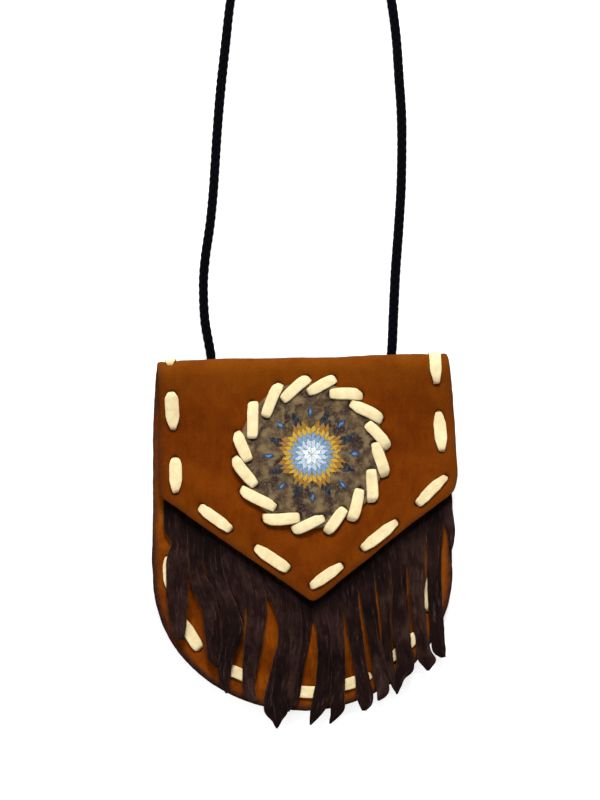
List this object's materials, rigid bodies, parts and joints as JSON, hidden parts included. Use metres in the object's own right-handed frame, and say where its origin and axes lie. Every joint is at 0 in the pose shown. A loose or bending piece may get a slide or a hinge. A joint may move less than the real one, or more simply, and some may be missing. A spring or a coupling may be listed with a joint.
{
  "type": "laced suede medicine bag",
  "caption": "Small suede neck pouch: rounded laced body, pointed fold-over flap with dark fringe and a whip-stitched round medallion, on a black round neck cord.",
  "frame": {"origin": "middle of the bag's own box in X and Y, without the neck cord, on the surface that its back lies on", "axes": "+Z out of the front of the bag, +X to the right of a viewer who faces the front, +Y towards the fold and the neck cord"},
  "size_m": [0.104, 0.3132, 0.0136],
  "materials": {
    "suede_back": "tobacco brown suede, matt nap",
    "suede_front": "tobacco brown suede, matt nap",
    "suede_flap": "tobacco brown suede, matt nap",
    "fringe_suede": "dark chocolate suede, matt nap, cut edges",
    "medallion_leather": "mottled taupe leather with a painted pattern",
    "lace": "cream buckskin lace, matt",
    "cord": "black braided round cord"
  },
  "bodies": {
    "pouch": {"back_panel": "suede_back", "front_panel": "suede_front", "pouch_lace": "lace", "knot_left": "cord", "knot_right": "cord", "cord_left": "cord", "cord_right": "cord", "cord_coil": "cord"},
    "flap": {"flap": "suede_flap", "fringe": "fringe_suede", "medallion_disc": "medallion_leather", "flap_lace": "lace", "medallion_lace": "lace"}
  },
  "joints": [
    {"name": "flap_hinge", "type": "hinge", "parent": "pouch", "child": "flap", "pos_m": [0, 0.06504, 0.00532], "axis": [-1, 0, 0], "range_deg": [0, 150]}
  ]
}
